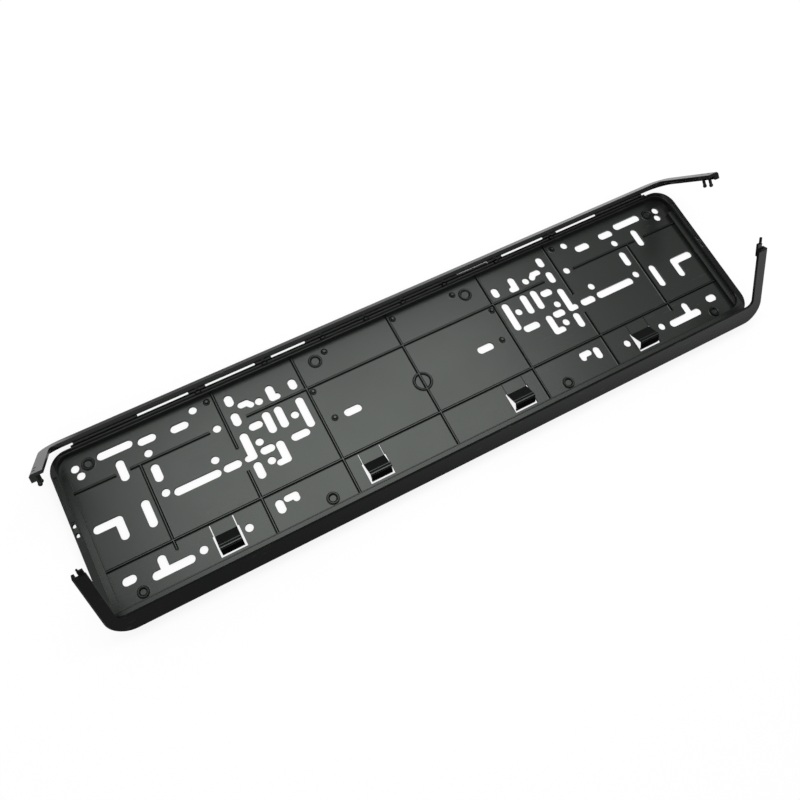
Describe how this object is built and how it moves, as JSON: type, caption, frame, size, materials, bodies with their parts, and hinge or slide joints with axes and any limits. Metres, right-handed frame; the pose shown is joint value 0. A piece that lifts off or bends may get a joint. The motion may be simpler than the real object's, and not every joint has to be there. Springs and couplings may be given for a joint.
{
  "type": "number plate holder",
  "caption": "Car number plate holder: a shallow slotted tray with two fold-over retaining frames on film hinges, snap prongs and spring tabs behind the plate.",
  "frame": {"origin": "centre of the tray on the back face of the floor, the face that lies against the car", "axes": "+X along the plate, +Y up the plate, +Z out of the tray towards the viewer of the plate"},
  "size_m": [0.532, 0.1426, 0.069],
  "materials": {
    "panel_plastic": "black polypropylene, satin",
    "frame_plastic": "black polypropylene, satin, smooth on the front faces"
  },
  "bodies": {
    "panel": {"panel": "panel_plastic"},
    "upper_frame": {"upper_frame": "frame_plastic"},
    "lower_frame": {"lower_frame": "frame_plastic"}
  },
  "joints": [
    {"name": "upper_fold", "type": "hinge", "parent": "panel", "child": "upper_frame", "pos_m": [0, 0.0632, 0.0076], "axis": [1, 0, 0], "range_deg": [-38, 56], "stiffness_Nm_per_rad": 0.15},
    {"name": "lower_fold", "type": "hinge", "parent": "panel", "child": "lower_frame", "pos_m": [0, -0.0677, 0.0076], "axis": [-1, 0, 0], "range_deg": [-38, 58], "stiffness_Nm_per_rad": 0.15}
  ]
}
